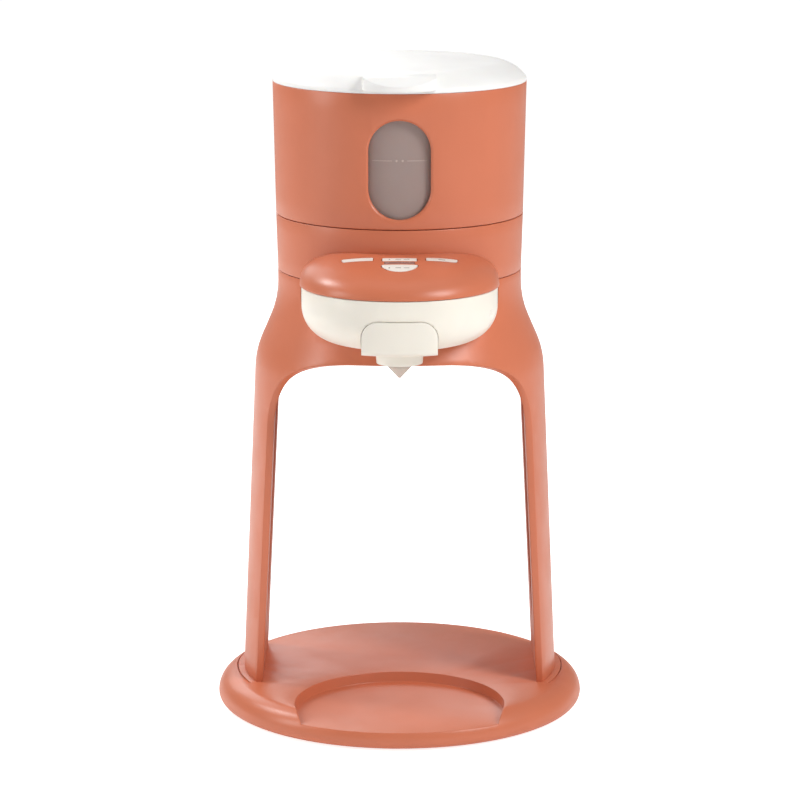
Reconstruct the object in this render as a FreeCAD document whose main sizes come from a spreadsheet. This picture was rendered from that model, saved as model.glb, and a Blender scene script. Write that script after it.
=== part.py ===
import FreeCAD, Part
import math
import os
import Sketcher

# Formula dispenser: a round base with a bottle recess, two legs, a pump housing with a
# powder drawer and a visor-shaped control panel in front, and a water tank with a lid on top.
# X points right, Y points back, Z points up; the origin is the centre of the base on the ground.

doc = FreeCAD.newDocument("FormulaDispenser")
sheet = doc.addObject("Spreadsheet::Sheet", "Dims")
Vector = FreeCAD.Vector

# ---------------------------------------------------------------- driving dimensions, mm

DIMENSIONS = [
    # base
    ("base_radius", 87.5), ("base_height", 13.2), ("base_lower_edge", 4), ("ground_gap", 0.8),
    ("shell_wall", 2.6), ("plate_radius", 80.5),
    ("recess_radius", 49), ("recess_y", -55.5), ("recess_floor", 9),
    ("foot_pad_radius", 8), ("foot_pad_height", 2), ("foot_circle", 66),
    ("base_boss_circle", 76), ("cord_x", -73), ("cord_level", 6.8), ("cord_radius", 2.55),
    # tower: outside radius at each level, about its own axis
    ("tower_y", 9.5), ("tower_wall", 2.8), ("leg_foot_radius", 75.6),
    ("shoulder_radius", 68.6), ("shoulder_level", 170), ("shoulder_bend", 41),
    ("neck_radius", 57.75), ("neck_level", 195), ("neck_bend", 43),
    ("band_level", 210), ("band_radius", 57.7), ("tank_level", 236.5), ("tank_base_radius", 58.4),
    ("rim_level", 298.9), ("rim_radius", 59.65), ("seam", 0.2),
    # legs
    ("leg_half_depth", 32), ("arch_spring", 139), ("arch_radius", 36), ("liner_wall", 2),
    ("floor_level", 176.2), ("floor_radius", 62), ("floor_thick", 2),
    # head: powder drawer and spout
    ("bowl_radius", 45.2), ("bowl_y", -39.8), ("bowl_bottom", 184.8), ("bowl_top", 209.9),
    ("bowl_bend", 16), ("bowl_back", -5), ("bowl_wall", 2.4), ("bowl_gap", 0.6),
    ("spout_half_width", 17.2), ("spout_top", 200.6), ("spout_back", -55), ("spout_y", -68),
    ("spout_face", 0.6), ("spout_face_bend", 2.4),
    ("spout_tube_radius", 11), ("spout_tube_bottom", 179.1), ("nozzle_tip", 172),
    # control panel
    ("panel_half_width", 46), ("panel_reach", 45.7), ("panel_rise", 16), ("panel_y", -39.3),
    ("panel_wall", 2.4), ("button_gap", 0.35), ("board_level", 214.8),
    # tank, lid, hinge
    ("tank_radius", 55.3), ("tank_wall", 2), ("tank_bottom", 238), ("tank_flange", 58),
    ("window_half_width", 14.25), ("window_half_straight", 8.5), ("window_level", 263.9),
    ("window_bevel", 1), ("chassis_level", 233), ("chassis_thick", 2.5),
    ("lid_level", 299), ("lid_radius", 59.6), ("lid_rise", 9.3),
    ("hinge_y", 72), ("hinge_level", 301.6), ("knuckle_radius", 2.6), ("pin_radius", 1.5),
    # running clearance on a radius
    ("running_gap", 0.05), ("slide_gap", 0.2),
]

for row, (alias, value) in enumerate(DIMENSIONS, start=1):
    sheet.set("A%d" % row, alias)
    sheet.set("B%d" % row, str(value))
    sheet.setAlias("B%d" % row, alias)
doc.recompute()


class Size:
    """A length that knows its value and the sheet formula it comes from."""

    def __init__(self, value, formula):
        self.value = float(value)
        self.formula = formula

    def __add__(self, other):
        other = as_size(other)
        return Size(self.value + other.value, "(%s + %s)" % (self.formula, other.formula))

    def __sub__(self, other):
        other = as_size(other)
        return Size(self.value - other.value, "(%s - %s)" % (self.formula, other.formula))

    def __mul__(self, factor):
        return Size(self.value * factor, "(%s * %s)" % (self.formula, repr(factor)))

    def __neg__(self):
        return Size(-self.value, "(0 - %s)" % self.formula)

    __rmul__ = __mul__
    __radd__ = __add__

    def __rsub__(self, other):
        return as_size(other) - self


def as_size(value):
    if isinstance(value, Size):
        return value
    return Size(value, "(%s)" % repr(float(value)))


def number(value):
    return as_size(value).value


class Dims:
    """Attribute access to the sheet: dim.base_radius is a Size."""

    def __getattr__(self, alias):
        return Size(sheet.get(alias), "Dims." + alias)


dim = Dims()


def bind(target, name, size):
    target.setExpression(name, as_size(size).formula)


def place(target, x=0, y=0, z=0):
    bind(target, "Placement.Base.x", x)
    bind(target, "Placement.Base.y", y)
    bind(target, "Placement.Base.z", z)


# ---------------------------------------------------------------- primitives and booleans

QUARTER_TURN_X = FreeCAD.Rotation(Vector(1, 0, 0), -90)
QUARTER_TURN_Y = FreeCAD.Rotation(Vector(0, 1, 0), 90)


def disc(radius, low, high, x=0, y=0):
    """Upright cylinder between two levels."""
    part = doc.addObject("Part::Cylinder", "Disc")
    bind(part, "Radius", radius)
    bind(part, "Height", as_size(high) - low)
    place(part, x, y, low)
    return part


def rod_y(radius, low, high, x, z):
    """Cylinder along Y."""
    part = doc.addObject("Part::Cylinder", "RodY")
    part.Placement = FreeCAD.Placement(Vector(), QUARTER_TURN_X)
    bind(part, "Radius", radius)
    bind(part, "Height", as_size(high) - low)
    place(part, x, low, z)
    return part


def rod_x(radius, low, high, y, z):
    """Cylinder along X."""
    part = doc.addObject("Part::Cylinder", "RodX")
    part.Placement = FreeCAD.Placement(Vector(), QUARTER_TURN_Y)
    bind(part, "Radius", radius)
    bind(part, "Height", as_size(high) - low)
    place(part, low, y, z)
    return part


def block(x_low, x_high, y_low, y_high, z_low, z_high):
    part = doc.addObject("Part::Box", "Block")
    bind(part, "Length", as_size(x_high) - x_low)
    bind(part, "Width", as_size(y_high) - y_low)
    bind(part, "Height", as_size(z_high) - z_low)
    place(part, x_low, y_low, z_low)
    return part


def cone(low_radius, high_radius, low, high, x=0, y=0):
    part = doc.addObject("Part::Cone", "Cone")
    bind(part, "Radius1", low_radius)
    bind(part, "Radius2", high_radius)
    bind(part, "Height", as_size(high) - low)
    place(part, x, y, low)
    return part


def ring(radius, thickness, x, y, z):
    """Torus lying flat."""
    part = doc.addObject("Part::Torus", "Ring")
    bind(part, "Radius1", radius)
    bind(part, "Radius2", thickness)
    place(part, x, y, z)
    return part


def joined(*parts):
    whole = doc.addObject("Part::MultiFuse", "Joined")
    whole.Shapes = list(parts)
    return whole


def cut(base, *tools):
    whole = doc.addObject("Part::Cut", "Trimmed")
    whole.Base = base
    whole.Tool = tools[0] if len(tools) == 1 else joined(*tools)
    return whole


def shared(*parts):
    whole = doc.addObject("Part::MultiCommon", "Shared")
    whole.Shapes = list(parts)
    return whole


def mirrored(part):
    """The same shape on the other side of the YZ plane."""
    other = doc.addObject("Part::Mirroring", "Mirrored")
    other.Source = part
    other.Normal = (1, 0, 0)
    return other


def group(parts):
    """Identical loose pieces kept together as separate solids."""
    whole = doc.addObject("Part::Compound", "Group")
    whole.Links = list(parts)
    return whole


def solid(shape):
    """A shape worked out with Part's own functions."""
    part = doc.addObject("Part::Feature", "Formed")
    part.Shape = shape
    return part


# ---------------------------------------------------------------- sketched bodies

def new_body(y=0):
    body = doc.addObject("PartDesign::Body", "Body")
    place(body, 0, y, 0)
    return body


def arc_between(start, end, radius):
    """Arc from start to end: a positive radius turns left, a negative one turns right."""
    chord = end - start
    half = chord.Length / 2
    height = math.sqrt(max(radius * radius - half * half, 0))
    side = Vector(-chord.y, chord.x, 0).normalize()
    sign = 1 if radius > 0 else -1
    centre = start + chord * 0.5 + side * (height * sign)
    first = math.atan2(start.y - centre.y, start.x - centre.x)
    last = math.atan2(end.y - centre.y, end.x - centre.x)
    if sign < 0:
        first, last = last, first
    if last < first:
        last += 2 * math.pi
    circle = Part.Circle(centre, Vector(0, 0, 1), abs(radius))
    return Part.ArcOfCircle(circle, first, last)


def sketch_outline(body, plane, corners):
    """Closed outline. A corner is (x, y), or (x, y, radius) when an arc leaves it."""
    sketch = body.newObject("Sketcher::SketchObject", "Outline")
    origin_plane = [item for item in body.Origin.OriginFeatures if item.Role == plane][0]
    sketch.AttachmentSupport = [(origin_plane, "")]
    sketch.MapMode = "FlatFace"
    places = [Vector(number(corner[0]), number(corner[1]), 0) for corner in corners]
    count = len(corners)
    ends = []
    for index, corner in enumerate(corners):
        start = places[index]
        end = places[(index + 1) % count]
        if len(corner) == 3:
            radius = number(corner[2])
            sketch.addGeometry(arc_between(start, end, radius), False)
            # an arc drawn to the right is stored from its far end
            ends.append((1, 2) if radius > 0 else (2, 1))
        else:
            sketch.addGeometry(Part.LineSegment(start, end), False)
            ends.append((1, 2))
    for index in range(count):
        following = (index + 1) % count
        link = Sketcher.Constraint("Coincident", index, ends[index][1], following, ends[following][0])
        sketch.addConstraint(link)
    for index, corner in enumerate(corners):
        first = ends[index][0]
        for kind, size in (("DistanceX", corner[0]), ("DistanceY", corner[1])):
            rule = Sketcher.Constraint(kind, -1, 1, index, first, number(size))
            slot = sketch.addConstraint(rule)
            sketch.setExpression("Constraints[%d]" % slot, as_size(size).formula)
        if len(corner) == 3:
            rule = Sketcher.Constraint("Radius", index, abs(number(corner[2])))
            slot = sketch.addConstraint(rule)
            size = corner[2] if number(corner[2]) > 0 else -as_size(corner[2])
            sketch.setExpression("Constraints[%d]" % slot, as_size(size).formula)
    return sketch


def turned(corners, y=0):
    """Body of revolution about the upright axis; corners are (radius, level)."""
    body = new_body(y)
    feature = body.newObject("PartDesign::Revolution", "Turned")
    sketch = sketch_outline(body, "XZ_Plane", corners)
    feature.Profile = sketch
    feature.ReferenceAxis = (sketch, ["V_Axis"])
    feature.Angle = 360
    body.Tip = feature
    doc.recompute()
    return body


def extruded(plane, corners, length, y=0, both_ways=False, reverse=False):
    body = new_body(y)
    feature = body.newObject("PartDesign::Pad", "Extruded")
    feature.Profile = sketch_outline(body, plane, corners)
    bind(feature, "Length", length)
    feature.Midplane = both_ways
    feature.Reversed = reverse
    body.Tip = feature
    doc.recompute()
    return body


def slab(corners, low, high):
    """Flat plate of any outline between two levels."""
    plate = extruded("XY_Plane", corners, as_size(high) - low)
    place(plate, 0, 0, low)
    return plate


def pocketed(body, plane, corners, length, both_ways=False, reverse=False):
    """Cut an outline through a body and stop if nothing was removed."""
    before = body.Shape.Volume
    feature = body.newObject("PartDesign::Pocket", "Pocket")
    feature.Profile = sketch_outline(body, plane, corners)
    bind(feature, "Length", length)
    feature.Midplane = both_ways
    feature.Reversed = reverse
    body.Tip = feature
    doc.recompute()
    if body.Shape.Volume > before - 1:
        raise RuntimeError("a pocket removed nothing")


def rounded(body, chosen, radius, kind="Fillet"):
    """Round or bevel the edges that chosen(edge) picks."""
    base = body.Tip
    feature = body.newObject("PartDesign::" + kind, kind)
    names = ["Edge%d" % (index + 1) for index, edge in enumerate(base.Shape.Edges) if chosen(edge)]
    if not names:
        raise RuntimeError("no edge was chosen")
    feature.Base = (base, names)
    bind(feature, "Radius" if kind == "Fillet" else "Size", radius)
    body.Tip = feature
    doc.recompute()


def circle_at(radius, level):
    """Chooses the full circular edges of this radius at this level."""
    def chosen(edge):
        curve = edge.Curve
        if curve.TypeId != "Part::GeomCircle":
            return False
        return abs(curve.Radius - number(radius)) < 0.01 and abs(curve.Center.z - number(level)) < 0.01
    return chosen


END_RUN = 2.5


def smooth_path(points, leave=None, arrive=None):
    """Smooth curve through the points, with a straight run at each end when one is given."""
    places = [Vector(*point) for point in points]
    if leave:
        places.insert(1, places[0] + Vector(*leave) * END_RUN)
        places.insert(-1, places[-1] - Vector(*arrive) * END_RUN)
    curve = Part.BSplineCurve()
    curve.interpolate(places)
    return curve


def rope(curve, radius):
    """Round solid that follows a curve."""
    start = curve.value(curve.FirstParameter)
    direction = curve.tangent(curve.FirstParameter)[0]
    profile = Part.Wire(Part.makeCircle(radius, start, direction))
    return Part.Wire(curve.toShape()).makePipeShell([profile], True, True)


def hose(points, leave, arrive, radius, bore):
    """Flexible tube through the points."""
    curve = smooth_path(points, leave, arrive)
    return solid(rope(curve, radius).cut(rope(curve, bore)))


def wire_run(points, radius):
    return solid(rope(smooth_path(points), radius))


def spots_on_circle(radius, angles, y=0):
    """Places at the given angles on a circle about the upright axis."""
    spots = []
    for angle in angles:
        turn = math.radians(angle)
        spots.append((radius * math.cos(turn), radius * math.sin(turn) + y))
    return spots


# ---------------------------------------------------------------- shared shapes and places

TOWER_Y = dim.tower_y
BASE_TOP = dim.ground_gap + dim.base_height
BASE_ROOF = BASE_TOP - dim.shell_wall
BASE_UPPER_EDGE = dim.base_height - dim.base_lower_edge
EDGE_CENTRE = dim.base_radius - BASE_UPPER_EDGE
BASE_BOSSES = spots_on_circle(dim.base_boss_circle, (60, 120, 225, 315))
FOOT_SPOTS = spots_on_circle(dim.foot_circle, (30, 150, 215, 325))
LEG_SCREW_X = 69.7
LEG_SCREW_SPOTS = [(side * LEG_SCREW_X, TOWER_Y + along) for side in (-1, 1) for along in (-10, 10)]
FLOOR_BOSSES = spots_on_circle(as_size(56.5), (-20, 45, 135, 200), TOWER_Y)
CHASSIS_ANGLES = (90, 210, 330)
CHASSIS_BOSSES = spots_on_circle(as_size(49), CHASSIS_ANGLES, TOWER_Y)


def d_plan(half_width, front_radius, centre_y, back_y):
    """D-shaped outline: straight sides and a round front."""
    return [
        (-as_size(half_width), back_y),
        (-as_size(half_width), centre_y, front_radius),
        (0, as_size(centre_y) - front_radius, front_radius),
        (half_width, centre_y),
        (half_width, back_y),
    ]


def recess_disc(extra, low):
    return disc(dim.recess_radius + extra, low, BASE_TOP + 10, 0, dim.recess_y)


# ---------------------------------------------------------------- base

def base_shell():
    widest = dim.ground_gap + dim.base_lower_edge
    outside = turned([
        (0, dim.ground_gap),
        (dim.base_radius - dim.base_lower_edge, dim.ground_gap, dim.base_lower_edge),
        (dim.base_radius, widest, BASE_UPPER_EDGE),
        (EDGE_CENTRE, BASE_TOP),
        (0, BASE_TOP),
    ])
    plate_seat = dim.plate_radius + 0.5
    hollow = turned([
        (0, dim.ground_gap - 1),
        (plate_seat, dim.ground_gap - 1),
        (plate_seat, dim.ground_gap + 2.1),
        (dim.base_radius - dim.shell_wall, widest, BASE_UPPER_EDGE - dim.shell_wall),
        (EDGE_CENTRE, BASE_ROOF),
        (0, BASE_ROOF),
    ])
    recess_skin = recess_disc(dim.shell_wall, dim.recess_floor - dim.shell_wall)
    shell = cut(outside, recess_disc(0, dim.recess_floor), cut(hollow, recess_skin))
    bosses = [disc(3.4, dim.ground_gap + 2, BASE_ROOF + 0.5, x, y) for x, y in BASE_BOSSES]
    screw_holes = [disc(1.5, 0, BASE_ROOF - 2, x, y) for x, y in BASE_BOSSES]
    leg_holes = [disc(1.4, BASE_ROOF - 1, BASE_TOP + 1, x, y) for x, y in LEG_SCREW_SPOTS]
    cord_hole = rod_y(3.85, 30, dim.base_radius, dim.cord_x, dim.cord_level)
    wire_hole = disc(2.6, BASE_ROOF - 1, BASE_TOP + 1, -LEG_SCREW_X, TOWER_Y)
    return cut(joined(shell, *bosses), foot_seams(), cord_hole, wire_hole, *screw_holes, *leg_holes)


def foot_seams():
    """Fine groove that runs round the outside of each leg's foot, just clear of it."""
    radius = dim.leg_foot_radius + 3.4
    low = BASE_TOP - 1.6
    outside = disc(radius, low, BASE_TOP + 1, 0, TOWER_Y)
    inside = disc(radius - 0.5, low - 1, BASE_TOP + 2, 0, TOWER_Y)
    depth = dim.leg_half_depth + 2
    beside = block(-100, 100, TOWER_Y - depth, TOWER_Y + depth, low, BASE_TOP + 1)
    return shared(cut(outside, inside), beside)


def base_plate():
    low = dim.ground_gap
    high = low + 2
    plate = disc(dim.plate_radius, low, high)
    pads = [disc(dim.foot_pad_radius + 0.1, low - 1, dim.foot_pad_height, x, y) for x, y in FOOT_SPOTS]
    holes = [disc(1.8, low - 1, high + 1, x, y) for x, y in BASE_BOSSES]
    sinks = [disc(3.2, low - 1, low + 1.2, x, y) for x, y in BASE_BOSSES]
    return cut(plate, *pads, *holes, *sinks)


def ballast_plate():
    plate = disc(62, dim.ground_gap + 2, dim.ground_gap + 6)
    front = block(-70, 70, -70, -2, 0, 20)
    return cut(plate, front, disc(8, 0, 20, 0, 30))


def rubber_feet():
    return group([disc(dim.foot_pad_radius, 0, dim.foot_pad_height, x, y) for x, y in FOOT_SPOTS])


def screw(head_radius, head_low, head_high, shank_radius, tip, x, y):
    """Screw standing upright; the tip may be above or below the head."""
    tip_level = as_size(tip)
    above = tip_level.value > number(head_high)
    shank = disc(shank_radius, head_high, tip, x, y) if above else disc(shank_radius, tip, head_low, x, y)
    head = disc(head_radius, head_low, head_high, x, y)
    slot_low = head_low if above else as_size(head_high) - 0.5
    slot_high = as_size(head_low) + 0.5 if above else head_high
    slots = [block(x - head_radius * 0.6, x + head_radius * 0.6, y - 0.3, y + 0.3, slot_low, slot_high),
             block(x - 0.3, x + 0.3, y - head_radius * 0.6, y + head_radius * 0.6, slot_low, slot_high)]
    return cut(joined(head, shank), *slots)


def base_screws():
    low = dim.ground_gap
    return group([screw(3, low + 0.1, low + 1.2, 1.45, BASE_ROOF - 2.5, x, y) for x, y in BASE_BOSSES])


def cord_grommet():
    sleeve = rod_y(3.8, 37, 51, dim.cord_x, dim.cord_level)
    return cut(sleeve, rod_y(dim.cord_radius + 0.05, 30, 60, dim.cord_x, dim.cord_level))


def mains_cord():
    return rod_y(dim.cord_radius, 30, dim.base_radius - 0.5, dim.cord_x, dim.cord_level)


# ---------------------------------------------------------------- legs and frame

def tower_skin(inset, low, high):
    """Corners of the tower's outline, moved inward, from a low to a high level."""
    return [
        (dim.leg_foot_radius - inset, low),
        (dim.shoulder_radius - inset, dim.shoulder_level),
        (dim.neck_radius - inset, dim.neck_level),
        (dim.band_radius - inset, high),
    ]


def arch_outline(side):
    """Opening between the legs seen from the side: upright edge, round corner, flat roof."""
    edge = dim.leg_half_depth * side
    corner = edge + dim.arch_radius * side
    roof = dim.arch_spring + dim.arch_radius
    far = 110.0 * side
    return [
        (edge, BASE_TOP - 5),
        (edge, dim.arch_spring, dim.arch_radius * -side),
        (corner, roof),
        (far, roof),
        (far, BASE_TOP - 5),
    ]


def leg_frame():
    low = BASE_TOP
    high = dim.band_level - dim.seam
    inner = tower_skin(dim.tower_wall, low, high)
    frame = turned(tower_skin(0, low, high) + inner[::-1], TOWER_Y)
    rounded(frame, circle_at(dim.shoulder_radius, dim.shoulder_level), dim.shoulder_bend)
    rounded(frame, circle_at(dim.neck_radius, dim.neck_level), dim.neck_bend)
    inner_shoulder = circle_at(dim.shoulder_radius - dim.tower_wall, dim.shoulder_level)
    rounded(frame, inner_shoulder, dim.shoulder_bend - dim.tower_wall)
    inner_neck = circle_at(dim.neck_radius - dim.tower_wall, dim.neck_level)
    rounded(frame, inner_neck, dim.neck_bend + dim.tower_wall)
    for side in (-1, 1):
        pocketed(frame, "YZ_Plane", arch_outline(side), 300, both_ways=True)
    pocketed(frame, "XZ_Plane", bowl_passage(), 90, reverse=True)
    leg_bosses = [disc(2.15, low, low + 12, x, y) for x, y in LEG_SCREW_SPOTS]
    leg_holes = [disc(1.2, low - 1, low + 10, x, y) for x, y in LEG_SCREW_SPOTS]
    floor_top = dim.floor_level + dim.floor_thick
    floor_bosses = [disc(3, floor_top + 0.1, floor_top + 14, x, y) for x, y in FLOOR_BOSSES]
    floor_holes = [disc(1.3, floor_top - 1, floor_top + 12, x, y) for x, y in FLOOR_BOSSES]
    # the bosses may not show through the outside of the frame
    outline = tower_skin(0.4, low, high)
    envelope = turned([(0, low)] + outline + [(0, high)], TOWER_Y)
    inside_bosses = shared(envelope, joined(*floor_bosses))
    return cut(joined(frame, inside_bosses, *leg_bosses), *leg_holes, *floor_holes)


def bowl_passage():
    """U-shaped way through the front of the frame for the powder drawer."""
    half = dim.bowl_radius + dim.bowl_gap
    bottom = dim.bowl_bottom - dim.bowl_gap
    bend = dim.bowl_bend + dim.bowl_gap
    top = dim.band_level + 5
    return [
        (-half, top),
        (-half, bottom + bend, bend),
        (bend - half, bottom),
        (half - bend, bottom, bend),
        (half, bottom + bend),
        (half, top),
    ]


LINER_FOOT_X = 65.5
LINER_SLOPE = 0.0513


def liner_face(level):
    """Distance of the liner's flat inner face from the middle plane at a level."""
    return LINER_FOOT_X - LINER_SLOPE * (as_size(level) - BASE_TOP)


def liner_slab(near, far, low, high, half_depth):
    """Leaning plate that follows the liner's inner face between two offsets from it."""
    corners = [
        (liner_face(low) + near, low),
        (liner_face(low) + far, low),
        (liner_face(high) + far, high),
        (liner_face(high) + near, high),
    ]
    return extruded("XZ_Plane", corners, half_depth * 2, TOWER_Y, both_ways=True)


def right_leg_liner():
    low = BASE_TOP + 0.05
    high = dim.floor_level - 1.2
    inset = dim.tower_wall + 0.1
    outline = tower_skin(inset, low, dim.band_level)[:3]
    envelope = turned([(0, low)] + outline + [(0, dim.neck_level)], TOWER_Y)
    shoulder = circle_at(dim.shoulder_radius - inset, dim.shoulder_level)
    rounded(envelope, shoulder, dim.shoulder_bend - inset)
    plate = liner_slab(0, dim.liner_wall, low, high, dim.leg_half_depth - 0.1)
    panel_outline = [
        (0, 34), (7, 44), (13, 62), (15, 84), (15, 150), (-15, 150), (-15, 84), (-13, 62), (-7, 44),
    ]
    panel = extruded("YZ_Plane", panel_outline, 200, TOWER_Y, both_ways=True)
    sunk = shared(panel, liner_slab(-5, 0.7, 30, 155, 20))
    return cut(shared(envelope, plate), sunk)


def left_leg_liner():
    return mirrored(right_leg_liner())


def leg_screws():
    return group([screw(1.85, BASE_ROOF - 1.6, BASE_ROOF, 1.15, BASE_TOP + 8, x, y)
                  for x, y in LEG_SCREW_SPOTS])


def body_floor():
    low = dim.floor_level
    high = low + dim.floor_thick
    holes = [disc(1.6, low - 1, high + 1, x, y) for x, y in FLOOR_BOSSES]
    sinks = [disc(3.1, low - 1, low + 1, x, y) for x, y in FLOOR_BOSSES]
    wire_notch = disc(2.5, low - 1, high + 1, -61, TOWER_Y)
    return cut(disc(dim.floor_radius, low, high, 0, TOWER_Y), wire_notch, *holes, *sinks)


def floor_screws():
    low = dim.floor_level
    return group([screw(2.9, low - 0.6, low + 1, 1.25, low + 11, x, y) for x, y in FLOOR_BOSSES])


# ---------------------------------------------------------------- pump housing and tank housing

def pump_housing():
    low = dim.band_level + dim.seam
    high = dim.tank_level - dim.seam
    wall = 2.6
    spigot_low = dim.band_level - 5
    spigot_radius = dim.band_radius - dim.tower_wall - 0.1
    shell = turned([
        (dim.band_radius, low),
        (dim.tank_base_radius, high),
        (dim.tank_base_radius - wall, high),
        (dim.band_radius - wall, low + 3),
        (spigot_radius - 2.2, low + 1),
        (spigot_radius - 2.2, spigot_low),
        (spigot_radius, spigot_low),
        (spigot_radius, low),
    ], TOWER_Y)
    bosses = []
    holes = []
    for (x, y), angle in zip(CHASSIS_BOSSES, CHASSIS_ANGLES):
        rib = block(0, 7.5, -1, 1, 0, 14)
        middle = FreeCAD.Rotation(Vector(0, 0, 1), angle)
        rib.Placement = FreeCAD.Placement(Vector(), middle)
        place(rib, x, y, dim.band_level + 7)
        bosses += [disc(3.2, dim.band_level + 7, dim.chassis_level, x, y), rib]
        holes.append(disc(1.3, dim.band_level + 8, dim.chassis_level + 1, x, y))
    drawer_way = block(-47.5, 47.5, -60, -3, spigot_low - 1, low)
    front_window = block(-14, 14, -60, -40, dim.band_level + 1.4, dim.band_level + 13)
    return cut(joined(shell, *bosses), drawer_way, front_window, *holes)


def stadium(half_width, half_straight, level):
    top = level + half_straight
    bottom = level - half_straight
    return [
        (-half_width, top),
        (-half_width, bottom, half_width),
        (0, bottom - half_width, half_width),
        (half_width, bottom),
        (half_width, top, half_width),
        (0, top + half_width, half_width),
    ]


def tank_housing():
    low = dim.tank_level + dim.seam
    high = dim.rim_level
    inner_low = dim.tank_base_radius - 2.55
    shell = turned([
        (dim.tank_base_radius, low),
        (dim.rim_radius, high),
        (dim.tank_flange + 0.2, high),
        (dim.tank_flange + 0.2, high - 1.6),
        (dim.rim_radius - 2.65, high - 1.6),
        (inner_low, low + 0.9),
        (inner_low - 2.55, low + 0.9),
        (inner_low - 2.55, dim.chassis_level - 1.5),
        (inner_low - 0.35, dim.chassis_level - 1.5),
        (inner_low - 0.35, low),
    ], TOWER_Y)
    window = stadium(dim.window_half_width, dim.window_half_straight, dim.window_level)
    pocketed(shell, "XZ_Plane", window, 90, reverse=True)

    def on_window_rim(edge):
        middle = edge.CenterOfMass
        box = edge.BoundBox
        reach = min(math.hypot(vertex.X, vertex.Y) for vertex in edge.Vertexes)
        inside = box.ZMax < dim.window_level.value + 23 and box.ZMin > dim.window_level.value - 23
        return inside and middle.y < -50 and reach > number(dim.tank_base_radius) - 0.5

    rounded(shell, on_window_rim, dim.window_bevel, "Chamfer")
    notch = block(-13.4, 13.4, 60, 80, high - 1.6, high + 1)
    return cut(shell, notch)


def chassis():
    low = dim.chassis_level
    high = low + dim.chassis_thick
    holes = [disc(1.6, low - 1, high + 1, x, y) for x, y in CHASSIS_BOSSES]
    socket_hole = disc(5.2, low - 1, high + 1, 0, TOWER_Y)
    drains = [disc(2, low - 1, high + 1, 30 * side, TOWER_Y) for side in (-1, 1)]
    kerb = cut(disc(49.5, high, high + 0.8, 0, TOWER_Y), disc(48, low, high + 2, 0, TOWER_Y))
    clear = [disc(3.6, high, high + 2, x, y) for x, y in CHASSIS_BOSSES]
    plate = disc(53, low, high, 0, TOWER_Y)
    return cut(joined(plate, kerb), socket_hole, *drains, *holes, *clear)


def chassis_screws():
    high = dim.chassis_level + dim.chassis_thick
    return group([screw(2.6, high, high + 1.6, 1.25, high - 12, x, y)
                  for x, y in CHASSIS_BOSSES])


# ---------------------------------------------------------------- tank, valve and lid

def water_tank():
    bottom = dim.tank_bottom
    floor = bottom + dim.tank_wall + 0.2
    top = dim.rim_level
    inner = dim.tank_radius - dim.tank_wall
    cup = turned([
        (0, bottom),
        (dim.tank_radius - 1.5, bottom),
        (dim.tank_radius, bottom + 1.5),
        (dim.tank_radius, top - 1.5),
        (dim.tank_flange, top - 1.5),
        (dim.tank_flange, top),
        (inner, top),
        (inner, floor),
        (0, floor),
    ], TOWER_Y)
    tongue = block(-12.8, 12.8, 63.5, 69.5, top - 1.5, top)
    ears = []
    for low, high in ((-12.8, -8.1), (8.1, 12.8)):
        ears.append(rod_x(dim.knuckle_radius, low, high, dim.hinge_y, dim.hinge_level))
        ears.append(block(low, high, 69.3, dim.hinge_y, top - 1.2, dim.hinge_level))
    pin_hole = rod_x(dim.pin_radius + dim.running_gap, -20, 20, dim.hinge_y, dim.hinge_level)
    valve_hole = disc(5, bottom - 1, floor + 1, 0, TOWER_Y)
    return cut(joined(cup, tongue, *ears), pin_hole, valve_hole)


VALVE_SEAT = 0.8
VALVE_STEM_REACH = 1.1
SPRING_TOP = 252.2
SPRING_WIRE = 0.45
SPRING_RADIUS = 3.6
SPRING_TURNS = 5


def tank_floor():
    return dim.tank_bottom + dim.tank_wall + 0.2


def tank_valve_seal():
    low = tank_floor()
    outer = disc(7.3, low, low + VALVE_SEAT, 0, TOWER_Y)
    return cut(outer, disc(2.2, low - 1, low + 2, 0, TOWER_Y))


def tank_valve():
    low = tank_floor() + VALVE_SEAT
    head = disc(7.3, low, low + 1.4, 0, TOWER_Y)
    stem = disc(2.05, dim.tank_bottom - VALVE_STEM_REACH, low + 0.1, 0, TOWER_Y)
    post = disc(2, low + 1.3, low + 4, 0, TOWER_Y)
    return joined(head, stem, post)


def tank_valve_spring():
    low = tank_floor() + VALVE_SEAT + 1.5
    height = SPRING_TOP - number(low) - 2 * SPRING_WIRE
    helix = Part.makeHelix(height / SPRING_TURNS, height, SPRING_RADIUS)
    profile = Part.Wire(Part.makeCircle(SPRING_WIRE, Vector(SPRING_RADIUS, 0, 0), Vector(0, 1, 0)))
    coil = Part.Wire(helix.Edges).makePipeShell([profile], True, True)
    spring = solid(coil)
    seat = Vector(0, number(TOWER_Y), number(low) + SPRING_WIRE)
    spring.Placement = FreeCAD.Placement(seat, FreeCAD.Rotation())
    return spring


def tank_filter():
    """Cage over the valve: it holds the spring and strains the water."""
    low = tank_floor()
    outside = disc(9.8, low, SPRING_TOP + 1.6, 0, TOWER_Y)
    inside = disc(8.4, low - 1, SPRING_TOP + 0.1, 0, TOWER_Y)
    slots = []
    for step in range(3):
        slot_low = low + 3 + step * 3.2
        slot_high = slot_low + 1.6
        slots.append(block(-12, 12, TOWER_Y - 1, TOWER_Y + 1, slot_low, slot_high))
        slots.append(block(-1, 1, TOWER_Y - 12, TOWER_Y + 12, slot_low, slot_high))
    return cut(outside, inside, *slots)


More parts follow.
